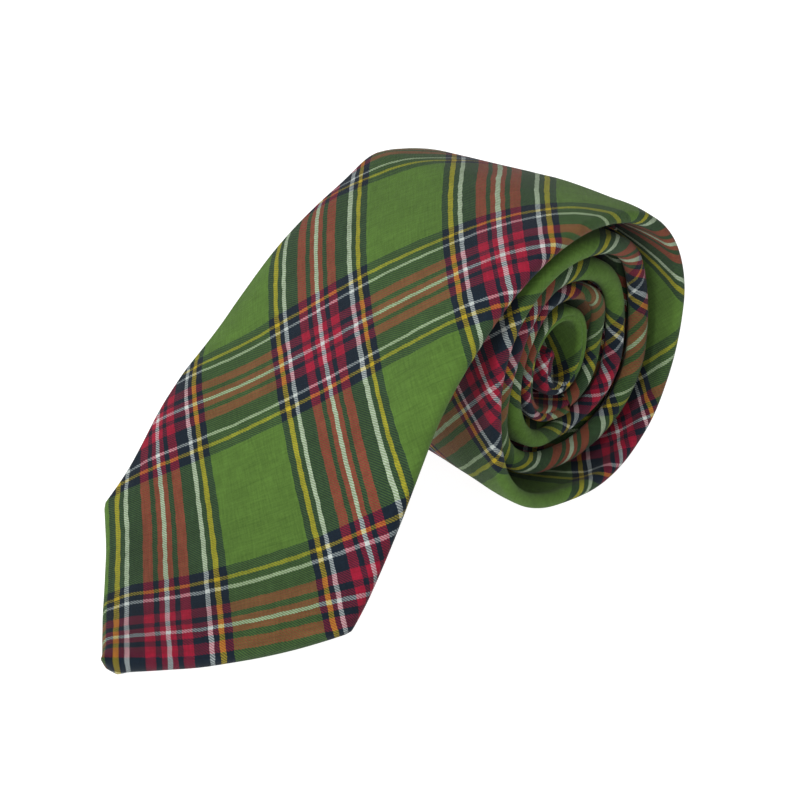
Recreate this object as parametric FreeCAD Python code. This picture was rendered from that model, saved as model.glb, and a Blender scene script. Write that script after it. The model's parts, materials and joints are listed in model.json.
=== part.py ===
import FreeCAD
import Part
import math
import os

# A rolled gentleman's necktie standing on a table.  The wide blade leaves the
# crest of the roll and slopes down to the table, ending in a right-angled point.
# Millimetres.  X runs from the blade tip to the roll, Y is the axis of the roll
# (minus Y is the open near end), Z is up and z = 0 is the table.

# --- driving dimensions ---
BLADE_WIDTH = 76.5
CORNER_WIDTH = 74.5          # width at the corners of the point
CORNER_START = 70.0          # distance from the crest where it narrows to that
CORNER_END = 100.0
SWELL = 3.0                  # the blade spreads a little on its slope
SWELL_PLACE = 52.0
SWELL_SPREAD = 26.0
NECK_WIDTH = 37.0
TAIL_WIDTH = 43.0
FREE_LENGTH = 147.5          # blade tip to the crest of the roll, along the cloth
FREE_THICK = 5.8             # folded blade where nothing presses on it
CREST_THICK = 5.0            # folded blade on the crest of the roll
CREST_REACH = 40.0           # length over which the blade swells past the crest
ROLLED_THICK = 2.5           # folded blade inside the roll
TAIL_THICK = 1.8             # folded neck and tail inside the roll
CLOTH = 0.5                  # one layer of tartan with its seam allowance
LINING = 0.35
LAYER_GAP = 0.06             # air between two layers of one body
SPLIT_GAP = 0.6              # air between two bodies along a fold line
TAIL_CLEAR = 0.22            # air between the blade and the tail inside it

# --- roll ---
ROLL_HALF_LENGTH = 32.3      # half size of the outer turn along X
ROLL_HALF_HEIGHT = 37.3      # half size of the outer turn along Z at the crest
PITCH_X = 5.6                # how much each half size shrinks in one turn
PITCH_Z = 6.1
FLARE = 0.0021               # the roll grows toward the near end, per mm of Y
FULLNESS = (0.045, 0.01, 0.1, 0.02)  # bulge of each quarter turn from the crest on
LEFT_REACH = 0.08            # the side under the blade reaches out this much more
BLADE_TURNS = 3.45           # turns made by the blade piece
NECK_TURNS = 4.8             # where the neck folds back on itself
OUTER_TURNS = 1.0            # the outer turn is a node of its own
TAPER_POWER = 1.6            # the blade narrows fastest just past the crest
CREST_SIDE = -4.5            # how far the strip's middle lies toward the near end
CREST_SIDE_END = math.radians(80.0)
BOTTOM_SIDE = 3.5            # ... under the roll
BOTTOM_SIDE_START = math.radians(80.0)
BOTTOM_SIDE_END = math.radians(190.0)
TURN_SIDE = 3.0              # ... after one turn
INNER_SIDE = 7.0             # ... and in the inner turns
PUSH_START = 0.9             # turns over which the inner turns are pushed out
PUSH_END = 3.1
TAIL_SEAM_TURNS = 3.6        # where the neck meets the tail on the way out
TAIL_END_TURNS = 0.62        # where the tail point lies
SEAM_TURNS = 0.014           # opening taken up by a sewn seam
STATIONS_PER_TURN = 24
SPAN_STATIONS = 12           # at most this many station steps in one face
FRONT_STRIPS = 4             # faces side by side across the front
BACK_STRIPS = 2              # and across each back flap

# --- free blade ---
BLADE_SLOPE = math.radians(44.0)
CREST_EASE = 27.0            # how quickly the slope is reached after the crest
TOE_START = 82.5             # distance from the crest where the slope eases off
TOE_END = 137.0              # distance from the crest where the blade lies flat
BLADE_YAW = math.radians(12.4)
YAW_LENGTH = 131.0
RISE_START = 10.0
LEVEL_START = 53.5           # the near edge stands higher than the far edge ...
LEVEL_END = 96.0             # ... until here, where both are level
SLOPE_SIDE = -7.5            # how far the strip's middle lies aside on the slope
SLOPE_SIDE_REACH = 45.0
POINT_SIDE = -0.5            # ... and at the point
POINT_SIDE_START = 58.0
POINT_SIDE_END = 126.0
EXTRA_RISE = 0.045           # a little more of that rise half way down the slope
EXTRA_PLACE = 55.0
EXTRA_SPREAD = 30.0

# --- fold lines of the free blade, measured from the crest ---
CREST_LINE = 0.0
MIDDLE_LINE = 46.0
TIP_LINE = 90.0

# --- back of the blade and small parts ---
APEX_CUT = 4.2               # the point is rounded off this far from its apex
SEAM_HALF = 0.6              # half the slot where the back flaps meet
FLAP_MEET = 52.0             # distance from the apex where the back flaps meet
POINT_HEM = 12.5             # turned-in hem of the point, measured across the blade
KEEPER_START = 14.0          # distance past the crest
KEEPER_LENGTH = 14.0
KEEPER_WIDTH = 44.0
KEEPER_THICK = 0.7
TACK_LENGTH = 8.0
TACK_WIDTH = 1.6
TACK_THICK = 0.45

TURN = 2.0 * math.pi
STEP = 0.25


def vec(x, y, z):
    return FreeCAD.Vector(x, y, z)


def smooth(value):
    value = max(0.0, min(1.0, value))
    return value * value * (3.0 - 2.0 * value)


def mix(start, end, amount):
    return start + (end - start) * amount


# --- centre line of the roll ---
def half_sizes(theta):
    turns = theta / TURN
    return ROLL_HALF_LENGTH - PITCH_X * turns, ROLL_HALF_HEIGHT - PITCH_Z * turns


ROLL_CENTRE_Z = half_sizes(math.pi)[1]
CREST_Z = ROLL_CENTRE_Z + ROLL_HALF_HEIGHT


def roll_fullness(theta):
    """The roll is a little squarer than an ellipse."""
    most = FULLNESS[int(math.floor(theta / (math.pi / 2.0))) % 4]
    return 1.0 + most * (1.0 - math.cos(4.0 * theta)) / 2.0


def roll_point(theta):
    """Front face of the cloth, x measured from the roll's axis."""
    size_x, size_z = half_sizes(theta)
    full = roll_fullness(theta)
    left = min(0.0, math.sin(theta))
    side = full * size_x * math.sin(theta) * (1.0 + LEFT_REACH * left * left)
    return vec(side, 0.0, ROLL_CENTRE_Z + full * size_z * math.cos(theta))


def roll_frame(theta):
    point = roll_point(theta)
    along = roll_point(theta + 0.01) - roll_point(theta - 0.01)
    along.normalize()
    across = vec(FLARE * point.x, -1.0, FLARE * point.z)
    across.normalize()
    normal = across.cross(along)
    normal.normalize()
    return point, across, normal


def roll_length(theta):
    """Length of cloth from the crest to an angle."""
    count = max(2, int(theta / 0.02))
    total = 0.0
    for index in range(count):
        start = roll_point(theta * index / count)
        end = roll_point(theta * (index + 1) / count)
        total += (end - start).Length
    return total


# --- centre line of the free blade ---
def fall_angle(distance):
    ease = 1.0 - smooth((distance - TOE_START) / (TOE_END - TOE_START))
    return BLADE_SLOPE * math.tanh(distance / CREST_EASE) * ease


def yaw_angle(distance):
    return BLADE_YAW * smooth(distance / YAW_LENGTH)


def edge_rise(distance):
    level = 1.0 - smooth((distance - LEVEL_START) / (LEVEL_END - LEVEL_START))
    extra = EXTRA_RISE * math.exp(-((distance - EXTRA_PLACE) / EXTRA_SPREAD) ** 2)
    return FLARE * CREST_Z * level + extra * smooth(distance / RISE_START)


def free_points():
    point = vec(0.0, 0.0, 0.0)
    points = [point]
    count = int(round(FREE_LENGTH / STEP))
    for index in range(count):
        middle = (index + 0.5) * STEP
        fall = fall_angle(middle)
        yaw = yaw_angle(middle)
        flat = math.cos(fall) * STEP
        move = vec(-flat * math.cos(yaw), -flat * math.sin(yaw), -math.sin(fall) * STEP)
        point = point + move
        points.append(point)
    drop = -points[-1].z
    scale = (CREST_Z - FREE_THICK) / drop
    return [vec(p.x, p.y, CREST_Z + p.z * scale) for p in points]


FREE_POINTS = free_points()


def free_point(distance):
    place = distance / STEP
    index = min(int(place), len(FREE_POINTS) - 2)
    part = place - index
    start = FREE_POINTS[index]
    return start + (FREE_POINTS[index + 1] - start) * part


def free_frame(distance):
    point = free_point(distance)
    before = free_point(max(distance - STEP, 0.0))
    after = free_point(min(distance + STEP, FREE_LENGTH))
    along = before - after
    along.normalize()
    yaw = yaw_angle(distance)
    across = vec(math.sin(yaw), -math.cos(yaw), edge_rise(distance))
    across.normalize()
    normal = across.cross(along)
    normal.normalize()
    return point, across, normal


# --- stations: point, across, normal, width, thickness ---
NECK_LENGTH = roll_length(NECK_TURNS * TURN)


def blade_width(length):
    left = 1.0 - min(1.0, length / NECK_LENGTH)
    return mix(NECK_WIDTH, BLADE_WIDTH, left ** TAPER_POWER)


def roll_side(theta):
    """How far the strip's middle lies toward the near end, round the roll."""
    turns = theta / TURN
    side = mix(CREST_SIDE, 0.0, smooth(theta / CREST_SIDE_END))
    late = smooth((theta - BOTTOM_SIDE_START) / (BOTTOM_SIDE_END - BOTTOM_SIDE_START))
    side = mix(side, BOTTOM_SIDE, late)
    side = mix(side, TURN_SIDE, smooth((turns - 0.5) / 0.5))
    return mix(side, INNER_SIDE, smooth((turns - PUSH_START) / (PUSH_END - PUSH_START)))


def free_side(distance):
    """The same for the free blade."""
    side = mix(CREST_SIDE, SLOPE_SIDE, smooth(distance / SLOPE_SIDE_REACH))
    late = smooth((distance - POINT_SIDE_START) / (POINT_SIDE_END - POINT_SIDE_START))
    return mix(side, POINT_SIDE, late)


def roll_station(theta):
    point, across, normal = roll_frame(theta)
    thick = mix(CREST_THICK, ROLLED_THICK, smooth(theta / math.pi))
    late = smooth((theta / TURN - BLADE_TURNS + 0.5) / 0.5)
    thick = mix(thick, TAIL_THICK, late)
    point = point + across * roll_side(theta)
    return point, across, normal, blade_width(roll_length(theta)), thick


def tail_station(theta):
    """The tail runs inside the blade with its own front facing the axis."""
    point, across, normal, width, thick = roll_station(theta)
    inner = point - normal * (thick + TAIL_THICK + TAIL_CLEAR)
    start = TAIL_SEAM_TURNS * TURN
    end = TAIL_END_TURNS * TURN
    grown = smooth((start - theta) / (start - end))
    return inner, across, normal * -1.0, mix(NECK_WIDTH, TAIL_WIDTH, grown), TAIL_THICK


def free_width(distance):
    narrowed = smooth((distance - CORNER_START) / (CORNER_END - CORNER_START))
    swell = SWELL * math.exp(-((distance - SWELL_PLACE) / SWELL_SPREAD) ** 2)
    width = mix(BLADE_WIDTH, CORNER_WIDTH, narrowed) + swell
    return min(width, 2.0 * (FREE_LENGTH - distance))


def free_station(distance):
    point, across, normal = free_frame(distance)
    width = free_width(distance)
    thick = mix(CREST_THICK, FREE_THICK, smooth(distance / CREST_REACH))
    point = point + across * free_side(distance)
    return point, across, normal, width, thick


def spread(function, start, end, count):
    return [function(mix(start, end, index / (count - 1.0))) for index in range(count)]


def roll_run(function, start_turns, end_turns):
    count = max(6, int(abs(end_turns - start_turns) * STATIONS_PER_TURN) + 1)
    return spread(function, start_turns * TURN, end_turns * TURN, count)


# --- ribbon solids ---
def corner(station, across, depth):
    point, side, normal = station[0], station[1], station[2]
    return point + side * across - normal * depth


def run_places(run):
    """Distance of every station along its run, used as the curve parameter."""
    places = [0.0]
    for before, after in zip(run, run[1:]):
        places.append(places[-1] + (after[0] - before[0]).Length)
    return places


def span_borders(places):
    """A long run is cut into spans of equal length, each half a turn or less."""
    count = int(math.ceil((len(places) - 1.0) / SPAN_STATIONS))
    return [mix(places[0], places[-1], float(index) / count) for index in range(count + 1)]


def run_faces(run, rings):
    """Ruled faces between consecutive corner lines of one smooth run."""
    places = run_places(run)
    curves = []
    for index in range(len(rings[0])):
        curve = Part.BSplineCurve()
        curve.interpolate(Points=[ring[index] for ring in rings], Parameters=places)
        curves.append(curve)
    borders = span_borders(places)
    faces = []
    for start, end in zip(borders, borders[1:]):
        cut = [curve.copy() for curve in curves]
        for curve in cut:
            curve.segment(start, end)
        for index in range(len(cut)):
            surface = cut[index].makeRuledSurface(cut[(index + 1) % len(cut)])
            faces.append(surface.toShape())
    return faces


def end_face(ring):
    return Part.Face(Part.makePolygon(ring + [ring[0]]))


def ribbon(runs, section):
    """One solid along station runs that share their border stations."""
    faces = []
    rings = []
    for run in runs:
        rings = [[corner(station, *spot) for spot in section(station)] for station in run]
        if not faces:
            faces.append(end_face(rings[0]))
        faces.extend(run_faces(run, rings))
    faces.append(end_face(rings[-1]))
    shell = Part.makeShell(faces)
    shell.sewShape()
    solid = Part.makeSolid(Part.Shell(shell.Faces))
    if solid.Volume < 0.0:
        solid.reverse()
    return solid


def arc_spots(centre, radius, thick, start, end):
    spots = []
    for index in range(5):
        angle = math.radians(mix(start, end, index / 4.0))
        spots.append((centre + radius * math.cos(angle), thick / 2.0 - radius * math.sin(angle)))
    return spots


def between(start, end, count):
    """Spots inside a straight edge, which split a wide face into strips."""
    spots = []
    for index in range(1, count):
        part = float(index) / count
        spots.append((mix(start[0], end[0], part), mix(start[1], end[1], part)))
    return spots


def tube_section(station, slot=SEAM_HALF):
    """Front face, two rounded side folds and the back flaps up to the seam slot."""
    width, thick = station[3], station[4]
    outer = thick / 2.0
    inner = outer - CLOTH
    centre = width / 2.0 - outer
    near = arc_spots(centre, outer, thick, -90.0, 90.0)
    far = [(-x, d) for x, d in reversed(near)]
    inside = [(-x, d) for x, d in arc_spots(centre, inner, thick, -90.0, 90.0)]
    inside_near = [(-x, d) for x, d in reversed(inside)]
    spots = [(slot, thick)]
    spots += between((slot, thick), near[0], BACK_STRIPS) + near
    spots += between(near[-1], far[0], FRONT_STRIPS) + far
    spots += between(far[-1], (-slot, thick), BACK_STRIPS) + [(-slot, thick)]
    spots += [(-slot, thick - CLOTH)]
    spots += between(spots[-1], inside[0], BACK_STRIPS) + inside
    spots += between(inside[-1], inside_near[0], FRONT_STRIPS) + inside_near
    spots += between(inside_near[-1], (slot, thick - CLOTH), BACK_STRIPS)
    spots += [(slot, thick - CLOTH)]
    return spots


def core_section(station):
    """Interlining: a flat pad that fills the tube."""
    width, thick = station[3], station[4]
    half = max(width / 2.0 - thick / 2.0, 0.4)
    top = CLOTH + LAYER_GAP
    bottom = thick - CLOTH - LAYER_GAP
    front = between((half, top), (-half, top), FRONT_STRIPS)
    back = between((-half, bottom), (half, bottom), FRONT_STRIPS)
    return [(half, top)] + front + [(-half, top), (-half, bottom)] + back + [(half, bottom)]


def box_section(half, top, bottom):
    def section(station):
        return [(half, top), (-half, top), (-half, bottom), (half, bottom)]
    return section


def back_box_section(half, top, bottom):
    """Depths measured from the back face, positive outward."""
    def section(station):
        thick = station[4]
        return [(half, thick + top), (-half, thick + top),
                (-half, thick + bottom), (half, thick + bottom)]
    return section


THREAD_SECTION = back_box_section(0.35, -0.55, -0.1)


# --- the point of the blade ---
def point_slot(from_apex):
    """Half width of the opening between the back flaps near the point."""
    side = min(CORNER_WIDTH / 2.0, from_apex) - POINT_HEM
    opening = (CORNER_WIDTH / 2.0 - POINT_HEM) * (FLAP_MEET - from_apex)
    opening /= FLAP_MEET - CORNER_WIDTH / 2.0
    return max(SEAM_HALF, min(side, opening))


def tip_runs(first, last):
    """Station runs between two distances from the apex, broken at the corners."""
    breaks = [FLAP_MEET, CORNER_WIDTH / 2.0, POINT_HEM + SEAM_HALF]
    marks = [first] + [mark for mark in breaks if last < mark < first] + [last]
    runs = []
    for start, end in zip(marks, marks[1:]):
        count = max(4, int((start - end) / 3.0) + 1)
        places = [mix(start, end, index / (count - 1.0)) for index in range(count)]
        runs.append([free_station(FREE_LENGTH - place) + (place,) for place in places])
    return runs


def tip_tube(station):
    return tube_section(station, point_slot(station[5]))


def tipping_section(station):
    half = max(point_slot(station[5]) - 0.15, 0.3)
    thick = station[4]
    top = thick - CLOTH + LAYER_GAP
    return [(half, top), (-half, top), (-half, top + LINING), (half, top + LINING)]


# --- neck and tail ---
def fold_runs(from_turns, to_turns):
    """In along the blade's path, round the inner fold, out along the tail's path."""
    inward = roll_run(roll_station, from_turns, NECK_TURNS)
    last = inward[-1]
    first_out = tail_station(NECK_TURNS * TURN)
    outer = last[0] - last[2] * (TAIL_THICK / 2.0)
    inner = first_out[0] - first_out[2] * (TAIL_THICK / 2.0)
    centre = (outer + inner) * 0.5
    reach = (outer - inner) * 0.5
    radius = reach.Length
    along = last[2].cross(last[1])
    along.normalize()
    bend = []
    for index in range(7):
        angle = math.pi * index / 6.0
        normal = last[2] * math.cos(angle) + along * math.sin(angle)
        point = centre + normal * (radius + TAIL_THICK / 2.0)
        bend.append((point, last[1], normal, NECK_WIDTH, TAIL_THICK))
    outward = roll_run(tail_station, NECK_TURNS, to_turns)
    inward[-1] = bend[0]
    outward[0] = bend[-1]
    return [inward, bend, outward]


def tail_reach():
    """Angle taken up by the point of the tail."""
    size_x, size_z = half_sizes(TAIL_END_TURNS * TURN)
    return TAIL_WIDTH / 2.0 / math.hypot(size_x, size_z) * 1.41


def tail_runs():
    """The tail body and its point, which closes over half its width."""
    straight = roll_run(tail_station, TAIL_SEAM_TURNS, TAIL_END_TURNS)
    reach = tail_reach()
    point = []
    for index in range(6):
        part = index / 5.0 * 0.88
        place = tail_station(TAIL_END_TURNS * TURN - reach * part)
        width = TAIL_WIDTH * (1.0 - part)
        point.append((place[0], place[1], place[2], width, place[4]))
    straight[-1] = point[0]
    return [straight, point]


def tail_tack_run():
    """A short run just past the end of the slip stitch."""
    start = TAIL_END_TURNS * TURN - 0.01
    return spread(tail_station, start, start - 0.05, 4)


def save(name, solids):
    shape = solids[0] if len(solids) == 1 else Part.makeCompound(solids)
    for solid in solids:
        ALL_BOX.add(solid.optimalBoundingBox(True, False))
        if not (solid.isValid() and solid.isClosed()):
            print("not sound:", name)
    PIECES.append((name, shape))


ALL_BOX = FreeCAD.BoundBox()
PIECES = []


def free_segment(name, start, end):
    stations = spread(free_station, start, end, 14)
    save(name + "_shell", [ribbon([stations], tube_section)])
    save(name + "_interlining", [ribbon([stations], core_section)])
    save(name + "_slip_stitch", [ribbon([stations], THREAD_SECTION)])


def build_free_blade():
    half_gap = SPLIT_GAP / 2.0
    free_segment("blade_upper", CREST_LINE + half_gap, MIDDLE_LINE - half_gap)
    free_segment("blade_middle", MIDDLE_LINE + half_gap, TIP_LINE - half_gap)
    first = FREE_LENGTH - TIP_LINE - half_gap
    save("blade_tip_shell", [ribbon(tip_runs(first, APEX_CUT), tip_tube)])
    save("blade_tip_interlining", [ribbon(tip_runs(first, APEX_CUT + 1.5), core_section)])
    tipping = tip_runs(FLAP_MEET - 0.4, POINT_HEM + SEAM_HALF + 0.4)
    save("blade_tip_lining", [ribbon(tipping, tipping_section)])
    tack_place = FREE_LENGTH - FLAP_MEET - 1.0
    tack = spread(free_station, tack_place - TACK_WIDTH, tack_place, 4)
    tack_section = back_box_section(TACK_LENGTH / 2.0, LAYER_GAP, TACK_THICK)
    save("blade_bar_tack", [ribbon([tack], tack_section)])


def build_roll():
    crest_turns = SPLIT_GAP / 2.0 / ROLL_HALF_LENGTH / TURN
    outer = [roll_run(roll_station, crest_turns, OUTER_TURNS - SEAM_TURNS / 2.0)]
    inner = [roll_run(roll_station, OUTER_TURNS + SEAM_TURNS / 2.0, BLADE_TURNS)]
    save("roll_outer_turn_shell", [ribbon(outer, tube_section)])
    save("roll_inner_turns_shell", [ribbon(inner, tube_section)])
    blade = [roll_run(roll_station, crest_turns, BLADE_TURNS)]
    save("roll_blade_interlining", [ribbon(blade, core_section)])
    save("roll_slip_stitch", [ribbon(blade, THREAD_SECTION)])
    neck = fold_runs(BLADE_TURNS + SEAM_TURNS, TAIL_SEAM_TURNS + SEAM_TURNS)
    save("neck_shell", [ribbon(neck, tube_section)])
    save("neck_interlining", [ribbon(neck, core_section)])
    save("neck_slip_stitch", [ribbon(neck, THREAD_SECTION)])
    tail = tail_runs()
    save("tail_shell", [ribbon(tail, tube_section)])
    save("tail_interlining", [ribbon(tail, core_section)])
    save("tail_slip_stitch", [ribbon([tail[0]], THREAD_SECTION)])
    tack = tail_tack_run()
    tack_section = back_box_section(0.45, -0.5, 0.15)
    save("tail_bar_tack", [ribbon([tack], tack_section)])


def build_seams():
    """Machine-sewn seams that join blade, neck and tail."""
    middle = BLADE_TURNS + SEAM_TURNS / 2.0
    reach = SEAM_TURNS / 5.0
    stations = spread(roll_station, (middle - reach) * TURN, (middle + reach) * TURN, 4)
    save("blade_neck_seam", [ribbon([stations], seam_section)])
    reach = SEAM_TURNS / 5.0
    middle = TAIL_SEAM_TURNS + SEAM_TURNS / 2.0
    stations = spread(tail_station, (middle - reach) * TURN, (middle + reach) * TURN, 4)
    save("neck_tail_seam", [ribbon([stations], seam_section)])


def seam_section(station):
    half = station[3] / 2.0 - 3.0
    return [(half, 0.1), (-half, 0.1), (-half, 0.4), (half, 0.4)]


def build_keeper():
    start = KEEPER_START / ROLL_HALF_LENGTH
    end = start + KEEPER_LENGTH / ROLL_HALF_LENGTH
    stations = spread(roll_station, start, end, 6)
    band = back_box_section(KEEPER_WIDTH / 2.0, LAYER_GAP, KEEPER_THICK)
    save("keeper_loop", [ribbon([stations], band)])
    stitches = []
    for side in (-1.0, 1.0):
        place = side * (KEEPER_WIDTH / 2.0 + 0.55)

        def bar(station, centre=place):
            thick = station[4]
            low = thick + LAYER_GAP
            high = thick + KEEPER_THICK
            return [(centre + 0.4, low), (centre - 0.4, low),
                    (centre - 0.4, high), (centre + 0.4, high)]
        stitches.append(ribbon([stations], bar))
    save("keeper_stitches", stitches)


def write_all():
    os.makedirs("parts", exist_ok=True)
    shift = vec(-(ALL_BOX.XMin + ALL_BOX.XMax) / 2.0, -(ALL_BOX.YMin + ALL_BOX.YMax) / 2.0,
                -ALL_BOX.ZMin)
    print("shift", shift, "size", ALL_BOX.XLength, ALL_BOX.YLength, ALL_BOX.ZLength)
    for name, shape in PIECES:
        shape.translate(shift)
        shape.exportStep("parts/" + name + ".step")
        print(name, round(shape.Volume), len(shape.Solids))


build_free_blade()
build_roll()
build_seams()
build_keeper()
write_all()
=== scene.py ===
import json
import math

import bmesh
import bpy
import numpy as np
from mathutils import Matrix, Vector, noise


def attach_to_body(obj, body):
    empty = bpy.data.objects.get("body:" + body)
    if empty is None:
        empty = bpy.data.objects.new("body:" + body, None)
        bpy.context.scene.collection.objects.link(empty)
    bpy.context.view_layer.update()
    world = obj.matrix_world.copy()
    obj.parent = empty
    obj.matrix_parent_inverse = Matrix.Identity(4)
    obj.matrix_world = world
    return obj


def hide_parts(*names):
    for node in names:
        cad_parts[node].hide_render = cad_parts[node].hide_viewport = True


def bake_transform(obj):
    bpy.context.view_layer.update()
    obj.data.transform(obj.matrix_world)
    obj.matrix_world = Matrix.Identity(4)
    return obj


# A rolled tartan necktie.  The cloth is one long strip, described in millimetres by the
# distance from the point of the wide blade (along) and from its centre line (across).
# Places round the roll are angles from its crest (theta), or turns.

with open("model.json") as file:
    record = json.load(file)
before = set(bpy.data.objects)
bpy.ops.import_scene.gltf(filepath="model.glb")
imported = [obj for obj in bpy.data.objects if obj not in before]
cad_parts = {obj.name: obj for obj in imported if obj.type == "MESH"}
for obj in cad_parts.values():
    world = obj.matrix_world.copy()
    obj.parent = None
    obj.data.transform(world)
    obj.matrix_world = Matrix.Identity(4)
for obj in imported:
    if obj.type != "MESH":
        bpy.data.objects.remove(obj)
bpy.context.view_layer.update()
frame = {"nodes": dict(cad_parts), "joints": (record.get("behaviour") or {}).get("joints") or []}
MM = 0.001
TURN = 2.0 * math.pi
noise.seed_set(7)            # the cloth is uneven in the same way on every run

# --- strip ---
BLADE_WIDTH = 76.5
CORNER_WIDTH = 74.5
CORNER_START = 70.0
CORNER_END = 100.0
SWELL = 3.0
SWELL_PLACE = 52.0
SWELL_SPREAD = 26.0
NECK_WIDTH = 37.0
TAIL_WIDTH = 43.0
FREE_LENGTH = 147.5          # point to the crest of the roll
FREE_THICK = 5.8
CREST_THICK = 5.0
CREST_REACH = 40.0
ROLLED_THICK = 2.5
TAIL_THICK = 1.8
CLOTH = 0.5
TAIL_CLEAR = 0.22

# --- roll ---
HALF_LENGTH = 32.3
HALF_HEIGHT = 37.3
PITCH_X = 5.6
PITCH_Z = 6.1
FLARE = 0.0021
FULLNESS = np.array([0.045, 0.01, 0.1, 0.02])
LEFT_REACH = 0.08
BLADE_TURNS = 3.45           # the blade ends here and the neck begins
NECK_TURNS = 4.8             # the neck turns back here, at the core
TAIL_SEAM_TURNS = 3.6
TAIL_END_TURNS = 0.62
TAIL_LAST_TURNS = TAIL_END_TURNS - 0.12
TAPER_POWER = 1.6
CREST_SIDE = -4.5            # how far the strip's middle lies toward the near end
CREST_SIDE_END = math.radians(80.0)
BOTTOM_SIDE = 3.5
BOTTOM_SIDE_START = math.radians(80.0)
BOTTOM_SIDE_END = math.radians(190.0)
TURN_SIDE = 3.0
INNER_SIDE = 7.0
PUSH_START = 0.9
PUSH_END = 3.1
DROOP = 1.5                  # the inner turns hang this much lower

# --- free blade; distances are from the crest toward the point ---
SLOPE = math.radians(44.0)
CREST_EASE = 27.0
TOE_START = 82.5
TOE_END = 137.0
YAW = math.radians(12.4)
YAW_LENGTH = 131.0
RISE_START = 10.0
LEVEL_START = 53.5
LEVEL_END = 96.0
SLOPE_SIDE = -7.5
SLOPE_SIDE_REACH = 45.0
POINT_SIDE = -0.5
POINT_SIDE_START = 58.0
POINT_SIDE_END = 126.0
EXTRA_RISE = 0.045           # the slope rises this steeply toward its near side
EXTRA_PLACE = 55.0
EXTRA_SPREAD = 30.0

# --- fold lines, measured the same way ---
CREST_LINE = 0.0
MIDDLE_LINE = 46.0
TIP_LINE = 90.0
BLEND_REACH = 9.0            # a distance round the roll past the crest line, read for the crest piece
ROLL_CUT = 16.0              # the crest piece reaches this far into the roll

# --- side folds and faces of the blade ---
FREE_SHOULDER = 1.3          # drop of the front face just before the side fold
ROLLED_SHOULDER = 0.5
POINT_CROWN = 0.2            # drop of the front face between its middle and its sides
FREE_CROWN = 0.5
ROLLED_CROWN_SHARE = 0.4     # how much of it is left in the roll
OUTER_RADIUS = 1.75          # of the side folds, in the outer turn
SECOND_RADIUS = 2.7          # in the turns inside it
CORE_RADIUS = 1.9            # past the second turn
THIN_RADIUS = 1.15           # in the neck and tail
FREE_SETTLE = 9.0            # the back lies flat this far in from the side fold
ROLLED_SETTLE = 4.0
WAVES = ((1.3, 2.3, 0.5), (1.0, 3.9, 1.1))  # uneven inner turns: height, rate and phase
FAR_LIFT = 1.6               # the far side of the crest stands up a little
CREST_LIFT = 1.6             # and so does its middle, but not the near side
LIFT_REACH = 9.0
SLANT_END = 35.5             # the side folds slant toward the point up to here
SLANT_FADE = 4.0

# --- back of the blade ---
SEAM_HALF = 0.5
FLAP_MEET = 52.0             # the back flaps meet this far from the point
POINT_HEM = 12.5
KEEPER_START = 14.0          # past the crest, round the outer turn
KEEPER_LENGTH = 14.0
KEEPER_WIDTH = 44.0

# --- interlining and sewing ---
STITCH_SPACING = 3.2
SLIP_RADIUS = 0.16
THIN_SLIP_RADIUS = 0.14
TACK_RADIUS = 0.2
THIN_PAD_PART = slice(3, -14, 2)   # stations of the neck or tail that its pad uses
THIN_SLIP_PART = slice(4, -26, 2)  # that its slip stitch uses
TAIL_TACK_PART = slice(-25, -20)   # that the tail's bar tack uses

# --- tartan ---
WARP_REPEAT = 45.94
WEFT_REPEAT = 63.36
WARP_SCALE = 0.83
WEFT_SCALE = 1.02
PATTERN_ALONG = 14.9
PATTERN_ACROSS = 4.7
INNER_PHASES = (10.9, -26.6)  # the neck and tail are cut from another place
THREAD = 0.17
WEFT_LINES = 0.66            # the light lines of the weft are narrower
WANDER = 0.5                 # the lines wander this far
WEFT_OVER = 0.36             # the warp's share of the colour where the weft is on top
WARP_OVER = 0.42             # and what is added where the warp is
DARKEST = 0.38               # brightness that slubs, clouds and fuzz add to
SLUB_LIGHT = 0.24
CLOUD_LIGHT = 0.14
FUZZ_LIGHT = 0.16
HAZE = 0.09
CLOTH_TO_UV = 0.01           # the cloth's places in millimetres, as its UV map holds them

# --- camera ---
CAMERA_AZIMUTH = math.radians(41.2)
CAMERA_ELEVATION = math.radians(31.8)
CAMERA_DISTANCE = 370.5
CAMERA_LENS = 68.8
CAMERA_TARGET = (-29.2, 0.0, 23.1)

# --- light, in metres and watts: place, size, power and what it is aimed at ---
KEY = ((-1.05, -0.05, 0.95), 0.8, 19.0, (0.0, 0.0, 0.03))
FILL = ((-0.5, -1.0, 0.5), 0.7, 3.0, (0.03, 0.0, 0.03))
SKY = 0.42
FLOOR_SIZE = 20.0
FLOOR_SHADE = 0.3
FLOOR_GLOW = 0.95


def joint_point(name):
    """Where a joint is, in millimetres."""
    found = [joint for joint in frame["joints"] if joint["name"] == name]
    return np.array(found[0]["pos_m"]) / MM


def half_sizes(theta):
    """Half width and half height of the roll, which shrink from turn to turn."""
    turns = theta / TURN
    return HALF_LENGTH - PITCH_X * turns, HALF_HEIGHT - PITCH_Z * turns


CENTRE_Z = half_sizes(math.pi)[1]
CREST_Z = CENTRE_Z + HALF_HEIGHT
SHIFT = joint_point("crest_bend") - np.array([0.0, 0.0, CREST_Z])


def smooth(value):
    value = np.clip(value, 0.0, 1.0)
    return value * value * (3.0 - 2.0 * value)


def mix(start, end, amount):
    return start + (end - start) * amount


def unit(rows):
    return rows / np.linalg.norm(rows, axis=1)[:, None]


def rows(x, y, z):
    return np.stack(np.broadcast_arrays(x, y, z), axis=1).astype(float)


def running(steps):
    """Running total of some steps, from zero."""
    return np.concatenate([[0.0], np.cumsum(steps)])


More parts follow.
